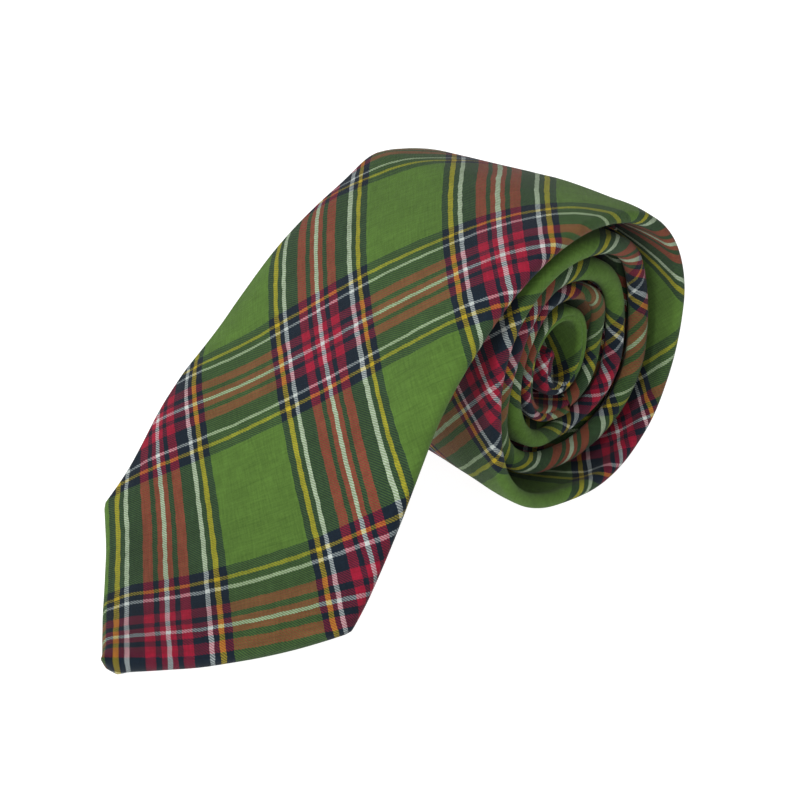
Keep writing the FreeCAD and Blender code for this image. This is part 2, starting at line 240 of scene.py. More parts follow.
# --- centre line of the roll ---
def roll_points(theta):
    size_x, size_z = half_sizes(theta)
    most = FULLNESS[np.floor(theta / (math.pi / 2.0)).astype(int) % 4]
    full = 1.0 + most * (1.0 - np.cos(4.0 * theta)) / 2.0
    left = np.minimum(0.0, np.sin(theta))
    side = full * size_x * np.sin(theta) * (1.0 + LEFT_REACH * left * left)
    return rows(side, 0.0 * theta, CENTRE_Z + full * size_z * np.cos(theta))


THETA_GRID = np.linspace(0.0, (NECK_TURNS + 0.1) * TURN, 4000)
LENGTH_GRID = running(np.linalg.norm(np.diff(roll_points(THETA_GRID), axis=0), axis=1))


def roll_length(theta):
    return np.interp(theta, THETA_GRID, LENGTH_GRID)


def roll_theta(length):
    return np.interp(length, LENGTH_GRID, THETA_GRID)


NECK_LENGTH = float(roll_length(NECK_TURNS * TURN))


def roll_frames(theta):
    point = roll_points(theta)
    along = unit(roll_points(theta + 0.01) - roll_points(theta - 0.01))
    across = unit(rows(FLARE * point[:, 0], -1.0, FLARE * point[:, 2]))
    normal = unit(np.cross(across, along))
    return point, across, normal


def roll_width(theta):
    left = 1.0 - np.clip(roll_length(theta) / NECK_LENGTH, 0.0, 1.0)
    return mix(NECK_WIDTH, BLADE_WIDTH, left ** TAPER_POWER)


def roll_thick(theta):
    thick = mix(CREST_THICK, ROLLED_THICK, smooth(theta / math.pi))
    return mix(thick, TAIL_THICK, smooth((theta / TURN - BLADE_TURNS + 0.5) / 0.5))


def roll_side(theta):
    """How far the strip's middle lies toward the near end, round the roll."""
    turns = theta / TURN
    side = mix(CREST_SIDE, 0.0, smooth(theta / CREST_SIDE_END))
    late = smooth((theta - BOTTOM_SIDE_START) / (BOTTOM_SIDE_END - BOTTOM_SIDE_START))
    side = mix(side, BOTTOM_SIDE, late)
    side = mix(side, TURN_SIDE, smooth((turns - 0.5) / 0.5))
    return mix(side, INNER_SIDE, smooth((turns - PUSH_START) / (PUSH_END - PUSH_START)))


def droop(theta):
    """The inner turns hang a little lower than the outer one."""
    return DROOP * smooth((theta / TURN - 0.8) / 0.4)


def free_width(distance):
    """Folded width of the free blade, which narrows to nothing at the point."""
    narrowed = smooth((distance - CORNER_START) / (CORNER_END - CORNER_START))
    swell = SWELL * np.exp(-((distance - SWELL_PLACE) / SWELL_SPREAD) ** 2)
    width = mix(BLADE_WIDTH, CORNER_WIDTH, narrowed) + swell
    return np.minimum(width, 2.0 * (FREE_LENGTH - distance))


def free_side(distance):
    """How far the middle of the free blade lies toward the near end."""
    side = mix(CREST_SIDE, SLOPE_SIDE, smooth(distance / SLOPE_SIDE_REACH))
    late = smooth((distance - POINT_SIDE_START) / (POINT_SIDE_END - POINT_SIDE_START))
    return mix(side, POINT_SIDE, late)


# --- centre line of the free blade ---
STEP = 0.25


def fall_angle(distance):
    ease = 1.0 - smooth((distance - TOE_START) / (TOE_END - TOE_START))
    return SLOPE * np.tanh(distance / CREST_EASE) * ease


def free_line():
    middle = (np.arange(int(round(FREE_LENGTH / STEP))) + 0.5) * STEP
    fall = fall_angle(middle)
    yaw = YAW * smooth(middle / YAW_LENGTH)
    flat = np.cos(fall) * STEP
    moves = rows(-flat * np.cos(yaw), -flat * np.sin(yaw), -np.sin(fall) * STEP)
    points = np.vstack([np.zeros((1, 3)), np.cumsum(moves, axis=0)])
    points[:, 2] = CREST_Z + points[:, 2] * (CREST_Z - FREE_THICK) / -points[-1, 2]
    return points


FREE_LINE = free_line()
FREE_PLACES = np.arange(len(FREE_LINE)) * STEP


def free_points(distance):
    return np.stack([np.interp(distance, FREE_PLACES, FREE_LINE[:, k]) for k in range(3)], 1)


def free_frames(distance):
    point = free_points(distance)
    before = free_points(np.maximum(distance - STEP, 0.0))
    after = free_points(np.minimum(distance + STEP, FREE_LENGTH))
    along = unit(before - after)
    yaw = YAW * smooth(distance / YAW_LENGTH)
    level = 1.0 - smooth((distance - LEVEL_START) / (LEVEL_END - LEVEL_START))
    extra = EXTRA_RISE * np.exp(-((distance - EXTRA_PLACE) / EXTRA_SPREAD) ** 2)
    rise = FLARE * CREST_Z * level + extra * smooth(distance / RISE_START)
    across = unit(rows(np.sin(yaw), -np.cos(yaw), rise))
    normal = unit(np.cross(across, along))
    return point, across, normal


# --- stations of a strip: frames, width, thickness and how full its side folds are ---
def blade_folds(along, theta, thick):
    """Shoulder, crown and side fold radius of the blade."""
    turns = theta / TURN
    shoulder = mix(FREE_SHOULDER, ROLLED_SHOULDER, smooth(turns / 0.5))
    shoulder *= smooth((along - 4.0) / 12.0)
    crown = mix(POINT_CROWN, FREE_CROWN, smooth((along - 28.0) / 40.0))
    crown *= mix(1.0, ROLLED_CROWN_SHARE, smooth(turns))
    radius = (thick - shoulder - crown) / 2.0 * np.sqrt(np.clip(along / 2.5, 0.0, 1.0))
    radius = mix(radius, OUTER_RADIUS, smooth(turns / 0.4))
    radius = mix(radius, SECOND_RADIUS, inside(turns))
    return shoulder, crown, mix(radius, CORE_RADIUS, smooth(turns - 2.0))


def inside(turns):
    """0 on the outer turn of the roll, 1 in the turns inside it."""
    return smooth((turns - 0.75) / 0.5)


def blade_stations(start, end, spacing):
    """Between two distances from the point; FREE_LENGTH is the crest."""
    count = max(4, int(round(abs(end - start) / spacing)) + 1)
    along = np.linspace(start, end, count)
    past = np.maximum(along - FREE_LENGTH, 0.0)
    theta = roll_theta(past)
    free = np.clip(FREE_LENGTH - along, 0.0, FREE_LENGTH)
    a_point, a_across, a_normal = free_frames(free)
    b_point, b_across, b_normal = roll_frames(theta)
    b_point[:, 2] -= droop(theta)
    pick = (along <= FREE_LENGTH)[:, None]
    aside = np.where(along <= FREE_LENGTH, free_side(free), roll_side(theta))
    turns = theta / TURN
    thick = mix(roll_thick(theta), FREE_THICK, smooth(free / CREST_REACH))
    shoulder, crown, radius = blade_folds(along, theta, thick)
    wave = sum(height * np.sin(rate * theta + phase) for height, rate, phase in WAVES)
    return {
        "along": along,
        "point": np.where(pick, a_point + a_across * aside[:, None],
                          b_point + b_across * aside[:, None]),
        "across": np.where(pick, a_across, b_across),
        "normal": np.where(pick, a_normal, b_normal),
        "width": np.where(along <= FREE_LENGTH, free_width(free),
                          roll_width(theta) + wave * inside(turns)),
        "thick": thick,
        "radius": radius,
        "crown": crown,
        "shoulder": shoulder,
        "settle": mix(FREE_SETTLE, ROLLED_SETTLE, smooth(turns / 0.5)),
        "aside": aside,
        "lift": np.exp(-(free / LIFT_REACH) ** 2) * (1.0 - smooth((theta - 0.5) / 1.4)),
    }


def inner_stations(start_turns, end_turns, inward, first_along):
    """The neck on its way in, or neck and tail on their way out."""
    length = abs(float(roll_length(end_turns * TURN) - roll_length(start_turns * TURN)))
    count = int(length / 1.4) + 2
    theta = np.linspace(start_turns, end_turns, count) * TURN
    point, across, normal = roll_frames(theta)
    turns = theta / TURN
    point = point + across * roll_side(theta)[:, None]
    point[:, 2] -= droop(theta)
    if inward:
        width = roll_width(theta)
    else:
        depth = roll_thick(theta) + TAIL_THICK + TAIL_CLEAR
        point = point - normal * depth[:, None]
        grown = smooth((TAIL_SEAM_TURNS - turns) / (TAIL_SEAM_TURNS - TAIL_END_TURNS))
        width = mix(NECK_WIDTH, TAIL_WIDTH, grown)
        normal = -normal
    along = first_along + running(np.linalg.norm(np.diff(point, axis=0), axis=1))
    return plain_stations(along, point, across, normal, width)


def plain_stations(along, point, across, normal, width):
    ones = np.ones(len(along))
    return {
        "along": along,
        "point": point,
        "across": across,
        "normal": normal,
        "width": width * ones,
        "thick": TAIL_THICK * ones,
        "radius": THIN_RADIUS * ones,
        "crown": 0.1 * ones,
        "shoulder": 0.1 * ones,
        "settle": ROLLED_SETTLE * ones,
        "aside": 0.0 * ones,
        "lift": 0.0 * ones,
    }


def bend_stations(last, first, first_along):
    """Half circle that joins the neck's way in to its way out."""
    outer = last["point"][-1] - last["normal"][-1] * TAIL_THICK / 2.0
    inner = first["point"][0] - first["normal"][0] * TAIL_THICK / 2.0
    centre = (outer + inner) / 2.0
    radius = np.linalg.norm(outer - inner) / 2.0
    side = last["across"][-1]
    forward = np.cross(last["normal"][-1], side)
    angles = np.linspace(0.0, math.pi, 14)[1:-1]
    normal = np.outer(np.cos(angles), last["normal"][-1]) + np.outer(np.sin(angles), forward)
    point = centre + normal * (radius + TAIL_THICK / 2.0)
    across = np.repeat(side[None, :], len(angles), axis=0)
    along = first_along + radius * angles
    return plain_stations(along, point, across, normal, NECK_WIDTH)


def join_stations(*parts):
    return {key: np.concatenate([part[key] for part in parts]) for key in parts[0]}


def back_opening(along):
    """Half width of the opening between the back flaps near the point."""
    side = min(CORNER_WIDTH / 2.0, along) - POINT_HEM
    opening = (CORNER_WIDTH / 2.0 - POINT_HEM) * (FLAP_MEET - along)
    opening /= FLAP_MEET - CORNER_WIDTH / 2.0
    return max(SEAM_HALF, min(side, opening))


# --- cross-section of a folded strip ---
FRONT_COUNT = 37
ARC_COUNT = 11
BACK_COUNT = 13
SHOULDER_REACH = 8.0         # the front face rounds off this far before the side fold
SLANT_REACH = 0.41           # a side fold cut across on the slant reaches this much further
MOST_EDGE = 1.2              # shares of the half width that keep a narrow section sound
MOST_REACH = 0.85
MOST_OPENING = 0.8
MOST_SAG = 1.5               # the back lies at most this far below its side folds
HALF_ROOT = math.sqrt(0.5)
SECTION_KEYS = ("width", "thick", "radius", "crown", "shoulder", "settle")


def flat_places(across, depth, pointed):
    """Where the points of a section lie on the flat cloth: across it and, where a slanting
    fold turns the cloth back, toward the point."""
    moved = np.diff(across)
    straight = np.hypot(moved, np.diff(depth))
    slanted = np.hypot(moved * HALF_ROOT, np.diff(depth))
    sideways = mix(straight, (slanted + moved * HALF_ROOT) * HALF_ROOT, pointed)
    onward = pointed * (slanted - moved * HALF_ROOT) * HALF_ROOT
    return running(sideways), running(onward)


def section(width, thick, radius, crown, shoulder, settle, opening, pointed):
    """One half, from the front centre round the side fold to the back opening, with the
    lip of cloth turned in there.  Returns across, depth below the front face, and the two
    places on the flat cloth."""
    half = width / 2.0
    edge = min(radius, half * MOST_EDGE)
    reach = min(edge * (1.0 + SLANT_REACH * pointed), half * MOST_REACH)
    fold = half - reach
    opening = min(opening, fold * MOST_OPENING)
    front = np.sin(np.linspace(0.0, 1.0, FRONT_COUNT // 2 + 1) * math.pi / 2.0) * fold
    front_depth = crown * (front / max(half, 1.0)) ** 2
    front_depth += shoulder * np.clip((front - fold) / SHOULDER_REACH + 1.0, 0.0, 1.0) ** 2
    start_depth = front_depth[-1]
    angles = np.linspace(-0.5, 0.5, ARC_COUNT)[1:] * math.pi
    arc = fold + reach * np.cos(angles)
    arc_depth = start_depth + edge + edge * np.sin(angles)
    end_depth = start_depth + 2.0 * edge
    back = mix(fold, opening, np.linspace(0.0, 1.0, BACK_COUNT)[1:] ** 1.5)
    settled = smooth((fold - back) / settle)
    rest_depth = thick + crown * (back / max(half, 1.0)) ** 2 * 0.5
    back_depth = mix(end_depth, np.minimum(rest_depth, end_depth + MOST_SAG), settled)
    across = np.concatenate([front, arc, back])
    depth = np.concatenate([front_depth, arc_depth, back_depth])
    cloth, turned = flat_places(across, depth, pointed)
    lip_across = np.array([opening - 0.12, opening - 0.05, opening + min(1.6, fold * 0.1)])
    lip_depth = back_depth[-1] + np.array([-0.12, -0.42, -0.5])
    lip_cloth = cloth[-1] + np.array([0.2, 0.5, 2.0])
    return (
        np.concatenate([across, lip_across]),
        np.concatenate([depth, lip_depth]),
        np.concatenate([cloth, lip_cloth]),
        np.concatenate([turned, np.repeat(turned[-1:], 3)]),
    )


def far_lift(stations, index, across):
    """How far the far side and the middle of the strip stand up at a station."""
    share = across / (stations["width"][index] / 2.0)
    far = FAR_LIFT * np.clip(-share, 0.0, 1.0) ** 2
    middle = CREST_LIFT * (1.0 - smooth((share - 0.2) / 0.6))
    return stations["lift"][index] * (far + middle)


def strip_rings(stations, tipped):
    """Vertex rings round the folded strip and their places on the flat cloth."""
    all_points = []
    all_uv = []
    for index, along in enumerate(stations["along"]):
        opening = back_opening(along) if tipped else SEAM_HALF
        pointed = float(1.0 - smooth((along - SLANT_END) / SLANT_FADE)) if tipped else 0.0
        shape = [stations[key][index] for key in SECTION_KEYS]
        across, depth, side, turned = section(*shape, opening, pointed)
        place = along - turned
        across = np.concatenate([-across[:0:-1], across])
        depth = np.concatenate([depth[:0:-1], depth])
        place = np.concatenate([place[:0:-1], place])
        side = np.concatenate([-side[:0:-1], side])
        depth -= far_lift(stations, index, across)
        points = stations["point"][index] + across[:, None] * stations["across"][index]
        all_points.append(points - depth[:, None] * stations["normal"][index])
        all_uv.append(np.stack([place, side + stations["aside"][index]], axis=1))
    return np.array(all_points), np.array(all_uv)


def band_rings(stations, spots):
    """Closed rings of a plain band; spots(index) gives (across, depth) pairs."""
    all_points = []
    for index in range(len(stations["along"])):
        ring = np.array(spots(index))
        ring[:, 1] -= far_lift(stations, index, ring[:, 0])
        ring = np.vstack([ring, ring[:1]])
        points = stations["point"][index] + ring[:, :1] * stations["across"][index]
        all_points.append(points - ring[:, 1:] * stations["normal"][index])
    return np.array(all_points)


def gathered(ring):
    """A ring drawn together into its middle, which closes an end."""
    return ring.mean(axis=1, keepdims=True) + 0.0 * ring


def closed(points):
    return np.concatenate([gathered(points[:1]), points, gathered(points[-1:])])


def soften(points, amount, size, seed):
    """Gentle unevenness of the cloth, moved along a smooth noise field."""
    shape = points.shape
    flat = points.reshape(-1, 3)
    moved = np.empty_like(flat)
    for index, point in enumerate(flat):
        moved[index] = noise.noise_vector(Vector(point / size) + Vector((seed, 0.0, 0.0)))
    flat = flat + moved * amount
    flat[:, 2] = np.maximum(flat[:, 2], 0.05)
    return flat.reshape(shape)


def cap_point(points, uv):
    """Close the apex of the blade with a ring gathered into its middle."""
    return np.concatenate([gathered(points[:1]), points]), np.concatenate([gathered(uv[:1]), uv])


# --- meshes ---
WELD_REACH = 0.000001


def grid_object(name, points, material, uv=None, normals=None):
    """A grid of rings as a mesh; row and column order give outward faces."""
    count, width = points.shape[:2]
    verts = (points.reshape(-1, 3) + SHIFT) * MM
    start = np.arange(count - 1)[:, None] * width + np.arange(width - 1)[None, :]
    start = start.ravel()
    faces = np.stack([start, start + 1, start + width + 1, start + width], axis=1)
    mesh = bpy.data.meshes.new(name)
    mesh.from_pydata(verts.tolist(), [], faces.tolist())
    if uv is not None:
        layer = mesh.uv_layers.new(name="cloth")
        loops = np.empty(len(mesh.loops), dtype=np.int64)
        mesh.loops.foreach_get("vertex_index", loops)
        flat = uv.reshape(-1, 2)[loops] * CLOTH_TO_UV
        layer.data.foreach_set("uv", flat.astype(np.float32).ravel())
    smooth_faces(mesh, material)
    if normals is None:
        weld(mesh)
    else:
        mesh.normals_split_custom_set_from_vertices(normals.reshape(-1, 3).tolist())
    return add_object(name, mesh)


def smooth_faces(mesh, material):
    mesh.polygons.foreach_set("use_smooth", np.ones(len(mesh.polygons), dtype=bool))
    mesh.materials.append(material)


def weld(mesh):
    """Join the rings of a closed piece where they meet themselves."""
    work = bmesh.new()
    work.from_mesh(mesh)
    bmesh.ops.remove_doubles(work, verts=work.verts, dist=WELD_REACH)
    work.to_mesh(mesh)
    work.free()


def add_object(name, mesh):
    piece = bpy.data.objects.new(name, mesh)
    bpy.context.scene.collection.objects.link(piece)
    return piece


def ring_normals(points):
    """Smooth normals of a whole grid, so that pieces cut from it keep them at the cut."""
    along = np.gradient(points, axis=0)
    across = np.gradient(points, axis=1)
    found = np.cross(across, along)
    length = np.linalg.norm(found, axis=2)
    return found / np.maximum(length, 1e-9)[:, :, None]


# --- materials ---
def linear(channel):
    channel /= 255.0
    if channel <= 0.04045:
        return channel / 12.92
    return ((channel + 0.055) / 1.055) ** 2.4


def colour(red, green, blue):
    return (linear(red), linear(green), linear(blue), 1.0)


def tone(red, green, blue):
    """A thread's colour as it looks; neighbouring threads blend by eye, before linearising."""
    return (red / 255.0, green / 255.0, blue / 255.0, 1.0)


GREEN = tone(92, 128, 54)
NAVY = tone(24, 36, 50)
RED = tone(172, 30, 58)
YELLOW = tone(208, 178, 44)
WHITE = tone(228, 236, 232)
FIBRES = tone(122, 134, 112)


class Nodes:
    """Small helper that adds and links shader nodes."""

    def __init__(self, name):
        self.material = bpy.data.materials.new(name)
        self.material.use_nodes = True
        self.tree = self.material.node_tree
        self.shader = self.tree.nodes["Principled BSDF"]

    def put(self, socket, value):
        if hasattr(value, "is_output"):
            self.tree.links.new(value, socket)
        else:
            socket.default_value = value

    def math(self, operation, first, second=0.0, third=0.0):
        node = self.tree.nodes.new("ShaderNodeMath")
        node.operation = operation
        for socket, value in zip(node.inputs, (first, second, third)):
            self.put(socket, value)
        return node.outputs[0]

    def mix(self, factor, first, second, blend="MIX"):
        node = self.tree.nodes.new("ShaderNodeMix")
        node.data_type = "RGBA"
        node.blend_type = blend
        self.put(node.inputs[0], factor)
        self.put(node.inputs[6], first)
        self.put(node.inputs[7], second)
        return node.outputs[2]

    def noise(self, vector, scale, detail=2.0, rough=0.5):
        node = self.tree.nodes.new("ShaderNodeTexNoise")
        self.put(node.inputs["Vector"], vector)
        node.inputs["Scale"].default_value = scale
        node.inputs["Detail"].default_value = detail
        node.inputs["Roughness"].default_value = rough
        return node.outputs["Fac"]

    def vector(self, x, y, z=0.0):
        node = self.tree.nodes.new("ShaderNodeCombineXYZ")
        for socket, value in zip(node.inputs, (x, y, z)):
            self.put(socket, value)
        return node.outputs[0]

    def gamma(self, value, power):
        node = self.tree.nodes.new("ShaderNodeGamma")
        self.put(node.inputs[0], value)
        node.inputs[1].default_value = power
        return node.outputs[0]

    def steps(self, factor, bands):
        node = self.tree.nodes.new("ShaderNodeValToRGB")
        ramp = node.color_ramp
        ramp.interpolation = "CONSTANT"
        self.put(node.inputs[0], factor)
        ramp.elements[0].color = bands[0][1]
        ramp.elements.remove(ramp.elements[1])
        for start, shade in bands[1:]:
            ramp.elements.new(start).color = shade
        return node.outputs[0]

    def bump(self, height, distance, strength):
        node = self.tree.nodes.new("ShaderNodeBump")
        node.inputs["Strength"].default_value = strength
        node.inputs["Distance"].default_value = distance
        self.put(node.inputs["Height"], height)
        return node.outputs["Normal"]

    def surface(self, rough, specular, sheen=0.0):
        self.shader.inputs["Roughness"].default_value = rough
        self.shader.inputs["Specular IOR Level"].default_value = specular
        self.shader.inputs["Sheen Weight"].default_value = sheen


# Half of the stripes, from the white centre line outward: first place in mm and colour.
STRIPES = (
    (0.0, WHITE),
    (0.62, RED),
    (2.0, NAVY),
    (3.4, RED),
    (6.1, NAVY),
    (10.05, WHITE),
    (11.35, NAVY),
    (12.65, YELLOW),
    (14.15, NAVY),
    (16.1, GREEN),
)


def stripes(n, place, repeat, scale, fine):
    """Colour of the thread at a place across one set of threads.  A smaller value of fine
    narrows the light lines and leaves the broad bands."""
    index = n.math("FLOOR", n.math("DIVIDE", place, THREAD))
    middle = n.math("MULTIPLY_ADD", index, THREAD, THREAD * 0.5)
    far = n.math("DIVIDE", n.math("PINGPONG", middle, repeat / 2.0), repeat / 2.0)
    starts = [start for start, shade in STRIPES]
    for line, (start, shade) in enumerate(STRIPES[:-1]):
        if shade in (WHITE, YELLOW):
            starts[line + 1] = start + (starts[line + 1] - start) * fine
    bands = [(start * scale * 2.0 / repeat, pair[1]) for start, pair in zip(starts, STRIPES)]
    return index, n.steps(far, bands)


def tartan(name, along_phase=0.0, across_phase=0.0):
    """Two crossing sets of coloured threads in a twill weave, from the cloth's own places."""
    n = Nodes(name)
    place = n.tree.nodes.new("ShaderNodeUVMap")
    place.uv_map = "cloth"
    split = n.tree.nodes.new("ShaderNodeSeparateXYZ")
    n.put(split.inputs[0], place.outputs[0])
    scale = 1.0 / CLOTH_TO_UV
    along = n.math("MULTIPLY_ADD", split.outputs[0], scale, along_phase - PATTERN_ALONG)
    across = n.math("MULTIPLY_ADD", split.outputs[1], scale, across_phase - PATTERN_ACROSS)
    warp = n.math("MULTIPLY", n.math("ADD", along, across), HALF_ROOT)
    weft = n.math("MULTIPLY", n.math("SUBTRACT", along, across), HALF_ROOT)
    wandering = n.noise(n.vector(warp, weft), 0.35, 1.0)
    drift = n.math("MULTIPLY_ADD", wandering, WANDER, -WANDER / 2.0)
    warp_moved = n.math("ADD", warp, drift)
    weft_moved = n.math("SUBTRACT", weft, drift)
    warp_index, warp_tone = stripes(n, warp_moved, WARP_REPEAT, WARP_SCALE, 1.0)
    weft_index, weft_tone = stripes(n, weft_moved, WEFT_REPEAT, WEFT_SCALE, WEFT_LINES)
    diagonal = n.math("FLOORED_MODULO", n.math("ADD", warp_index, weft_index), 4.0)
    warp_top = n.math("LESS_THAN", diagonal, 1.5)
    share = n.math("MULTIPLY_ADD", warp_top, WARP_OVER, WEFT_OVER)
    fuzz = n.noise(n.vector(warp, weft, 11.0), 2.6, 4.0, 0.7)
    shaded = worn(n, n.mix(share, weft_tone, warp_tone), warp, weft, fuzz)
    n.put(n.shader.inputs["Base Color"], n.gamma(shaded, 2.2))
    warp_round = n.math("PINGPONG", n.math("DIVIDE", warp_moved, THREAD), 0.5)
    weft_round = n.math("PINGPONG", n.math("DIVIDE", weft_moved, THREAD), 0.5)
    relief = n.math("MULTIPLY", weft_round, n.math("SUBTRACT", 1.0, warp_top))
    relief = n.math("MULTIPLY_ADD", warp_round, warp_top, relief)
    relief = n.math("MULTIPLY_ADD", fuzz, 1.4, relief)
    n.put(n.shader.inputs["Normal"], n.bump(relief, 0.00008, 0.8))
    n.surface(rough=0.95, specular=0.12, sheen=0.06)
    return n.material


def worn(n, cloth, warp, weft, fuzz):
    """The uneven brightness of real threads, and a haze of brushed fibres over them."""
    slub = n.noise(n.vector(warp, n.math("MULTIPLY", weft, 0.08)), 2.4, 3.0)
    slub_two = n.noise(n.vector(n.math("MULTIPLY", warp, 0.08), weft, 7.0), 2.4, 3.0)
    cloud = n.noise(n.vector(warp, weft, 3.0), 0.16, 3.0)
    bright = n.math("MULTIPLY_ADD", n.math("ADD", slub, slub_two), SLUB_LIGHT, DARKEST)
    bright = n.math("MULTIPLY_ADD", cloud, CLOUD_LIGHT, bright)
    bright = n.math("MULTIPLY_ADD", fuzz, FUZZ_LIGHT, bright)
    shaded = n.mix(1.0, cloth, n.vector(bright, bright, bright), "MULTIPLY")
    return n.mix(n.math("MULTIPLY", fuzz, HAZE), shaded, FIBRES)


def plain_cloth(name, shade, rough, weave, sheen):
    """Plain woven cloth or thread, from places in the object."""
    n = Nodes(name)
    where = n.tree.nodes.new("ShaderNodeTexCoord").outputs["Object"]
    wave = n.noise(where, weave, 3.0, 0.6)
    cloud = n.noise(where, 60.0, 2.0)
    bright = n.math("MULTIPLY_ADD", n.math("ADD", wave, cloud), 0.3, 0.7)
    shaded = n.mix(1.0, shade, n.vector(bright, bright, bright), "MULTIPLY")
    n.put(n.shader.inputs["Base Color"], shaded)
    n.put(n.shader.inputs["Normal"], n.bump(wave, 0.00012, 0.6))
    n.surface(rough, specular=0.3, sheen=sheen)
    return n.material


TARTAN = tartan("tartan_blade")
TARTAN_INNER = tartan("tartan_neck_and_tail", *INNER_PHASES)
LINING = plain_cloth("lining", colour(20, 27, 40), 0.45, 2400.0, 0.3)
PAD = plain_cloth("interlining", colour(226, 220, 205), 0.95, 1500.0, 0.2)
THREAD_CLOTH = plain_cloth("thread", colour(38, 66, 40), 0.7, 5000.0, 0.2)


# --- where pieces sit on the bodies ---
SEGMENTS = (
    ("point", 0.0, FREE_LENGTH - (MIDDLE_LINE + TIP_LINE) / 2.0),
    ("slope", FREE_LENGTH - (MIDDLE_LINE + TIP_LINE) / 2.0,
     FREE_LENGTH - (CREST_LINE + MIDDLE_LINE) / 2.0),
    ("crest", FREE_LENGTH - (CREST_LINE + MIDDLE_LINE) / 2.0, FREE_LENGTH + ROLL_CUT),
    ("rolled", FREE_LENGTH + ROLL_CUT, 10000.0),
)


def roll_place(distance):
    """The same round the roll."""
    theta = roll_theta(np.array([distance]))
    return Vector((roll_points(theta)[0] + SHIFT) * MM)


def attach(piece, segment):
    """A piece of the strip rides on the roll, or has its place baked into its mesh."""
    if segment == "rolled":
        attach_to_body(piece, "roll")
    elif segment == "crest":
        start = roll_place(BLEND_REACH - CREST_LINE)
        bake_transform(piece)
    elif segment == "slope":
        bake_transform(piece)
    else:
        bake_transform(piece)


def cut_pieces(name, along, points, material, uv=None):
    """Cut one long grid into the four segments of the blade.  A sheet of cloth keeps its
    shading across the cuts; a pad, which has no places on a cloth, is closed at them."""
    normals = None if uv is None else ring_normals(points)
    pieces = {}
    for segment, low, high in SEGMENTS:
        first = int(np.searchsorted(along, low))
        last = int(np.searchsorted(along, high))
        last = min(last, len(along) - 1)
        if last - first < 2:
            continue
        used = slice(first, last + 1)
        piece = grid_object(
            name + "_" + segment,
            closed(points[used]) if uv is None else points[used],
            material,
            None if uv is None else uv[used],
            None if uv is None else normals[used],
        )
        pieces[segment] = piece, along[first], along[last]
    return pieces


# --- the blade's cloth ---
BLADE_END = FREE_LENGTH + float(roll_length(BLADE_TURNS * TURN))
SHELLS = {
    "point": ("blade_tip_shell",),
    "slope": ("blade_middle_shell",),
    "crest": ("blade_upper_shell",),
    "rolled": ("roll_outer_turn_shell", "roll_inner_turns_shell"),
}
PADS = {
    "point": ("blade_tip_interlining",),
    "slope": ("blade_middle_interlining",),
    "crest": ("blade_upper_interlining",),
    "rolled": ("roll_blade_interlining",),
}


def build_blade():
    stations = blade_stations(0.5, BLADE_END, 1.2)
    points, uv = cap_point(*strip_rings(stations, tipped=True))
    points = soften(points, amount=0.34, size=26.0, seed=3.0)
    points = soften(points, amount=0.1, size=9.0, seed=11.0)
    along = np.concatenate([[0.0], stations["along"]])
    made = cut_pieces("blade", along, points, TARTAN, uv)
    for segment, (piece, start, end) in made.items():
        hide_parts(*SHELLS[segment])
        attach(piece, segment)


def pad_spots(stations, index):
    """Cross-section of the interlining, inside the folded cloth."""
    inset = 1.6 * stations["radius"][index] + 4.0
    half = max(stations["width"][index] / 2.0 - inset, 0.3)
    top = CLOTH + 0.25 + stations["crown"][index] + 0.4 * stations["shoulder"][index]
    bottom = max(stations["thick"][index] - CLOTH - 0.15, top + 0.1)
    return [(half, top), (half / 2.0, top - 0.2), (0.0, top - 0.25), (-half / 2.0, top - 0.2),
            (-half, top), (-half, bottom), (-half / 2.0, bottom), (0.0, bottom),
            (half / 2.0, bottom), (half, bottom)]


def build_interlining():
    stations = blade_stations(9.0, BLADE_END - 1.0, 2.5)
    points = band_rings(stations, lambda index: pad_spots(stations, index))
    made = cut_pieces("interlining", stations["along"], points, PAD)
    for segment, (piece, start, end) in made.items():
        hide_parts(*PADS[segment])
        attach(piece, segment)


# --- neck and tail ---
def inner_runs():
    """Stations of the neck's way in, its bend at the core, and neck and tail's way out."""
    first_along = BLADE_END + 0.6
    way_in = inner_stations(BLADE_TURNS + 0.014, NECK_TURNS, True, first_along)
    way_out = inner_stations(NECK_TURNS, TAIL_LAST_TURNS, False, 0.0)
    bend = bend_stations(way_in, way_out, way_in["along"][-1])
    way_out["along"] = way_out["along"] + bend["along"][-1] + 1.0
    return way_in, bend, way_out


def part_of(stations, used):
    """Some of the stations."""
    return {key: value[used] for key, value in stations.items()}


def tail_seam_index(both, way_out):
    """Where the seam between neck and tail falls in the run of both."""
    out = way_out["along"]
    seam_turns = np.linspace(NECK_TURNS, TAIL_LAST_TURNS, len(out))
    seam = float(np.interp(-TAIL_SEAM_TURNS, -seam_turns, out))
    return int(np.searchsorted(both["along"], seam))


def build_neck_and_tail():
    way_in, bend, way_out = inner_runs()
    both = join_stations(way_in, bend, way_out)
    left = both["along"][-1] - both["along"]
    both["width"] = np.minimum(both["width"], 2.0 * left + 1.0)
    points, uv = strip_rings(both, tipped=False)
    points = soften(points, amount=0.12, size=14.0, seed=5.0)
    normals = ring_normals(points)
    cut = tail_seam_index(both, way_out)
    for name, used, node in (("neck", slice(0, cut + 1), "neck_shell"),
                             ("tail", slice(cut, None), "tail_shell")):
        piece = grid_object(name, points[used], TARTAN_INNER, uv[used], normals[used])
        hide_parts(node)
        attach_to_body(piece, "roll")
        build_thin_pad(name + "_interlining", part_of(both, used))


def build_thin_pad(name, stations):
    lined = part_of(stations, THIN_PAD_PART)
    rings = closed(band_rings(lined, lambda index: thin_pad_spots(lined, index)))
    pad = grid_object(name, rings, PAD)
    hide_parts(name)
    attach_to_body(pad, "roll")


def thin_pad_spots(stations, index):
    half = max(stations["width"][index] / 2.0 - 2.2, 0.2)
    return [(half, 0.7), (-half, 0.7), (-half, 1.1), (half, 1.1)]


